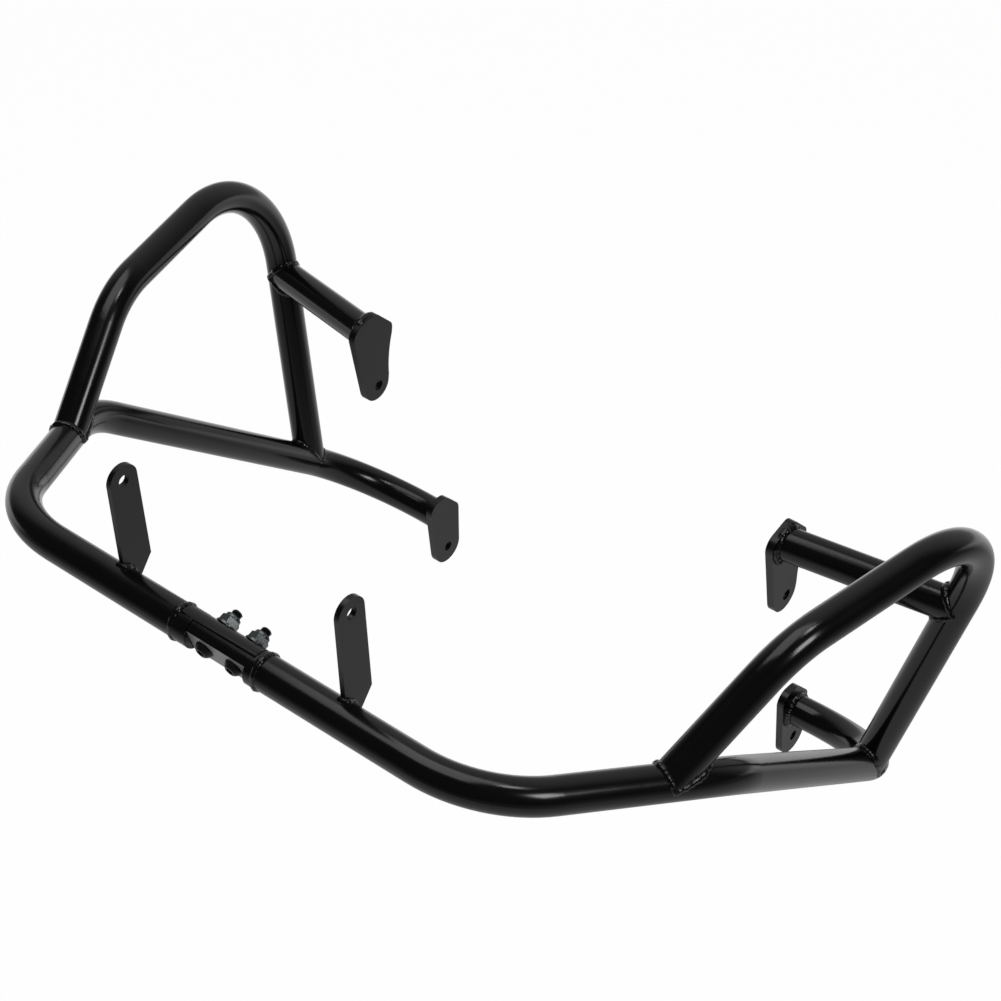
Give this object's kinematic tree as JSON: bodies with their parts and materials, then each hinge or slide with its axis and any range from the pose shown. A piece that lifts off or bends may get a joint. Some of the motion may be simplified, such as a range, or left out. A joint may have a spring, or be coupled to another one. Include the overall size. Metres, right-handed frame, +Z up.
{
  "type": "motorcycle crash bars",
  "caption": "Mirrored pair of bent tubular crash bars with side loops, stays, drilled mounting plates and front tabs, joined at the centre by a bolted half-lap.",
  "frame": {"origin": "middle of the bolted joint, on the crossbar's centre line", "axes": "+X to the machine's left, +Y to its rear, +Z up, as the bars are mounted"},
  "size_m": [0.6866, 0.452, 0.4112],
  "materials": {
    "powder_coat": "gloss black powder coat on steel",
    "black_bolt": "black oxide steel",
    "zinc_plate": "zinc-plated steel"
  },
  "bodies": {
    "root": {"lower_tube_left": "powder_coat", "lower_tube_right": "powder_coat", "loop_tube_left": "powder_coat", "loop_tube_right": "powder_coat", "upper_stay_left": "powder_coat", "upper_stay_right": "powder_coat", "upper_plate_left": "powder_coat", "upper_plate_right": "powder_coat", "lower_plate_left": "powder_coat", "lower_plate_right": "powder_coat", "front_tab_left": "powder_coat", "front_tab_right": "powder_coat", "joint_lug_left": "powder_coat", "joint_lug_right": "powder_coat", "joint_bolt_left": "black_bolt", "joint_bolt_right": "black_bolt", "joint_washer_left": "zinc_plate", "joint_washer_right": "zinc_plate", "lock_nut_left": "zinc_plate", "lock_nut_right": "zinc_plate"}
  },
  "joints": []
}
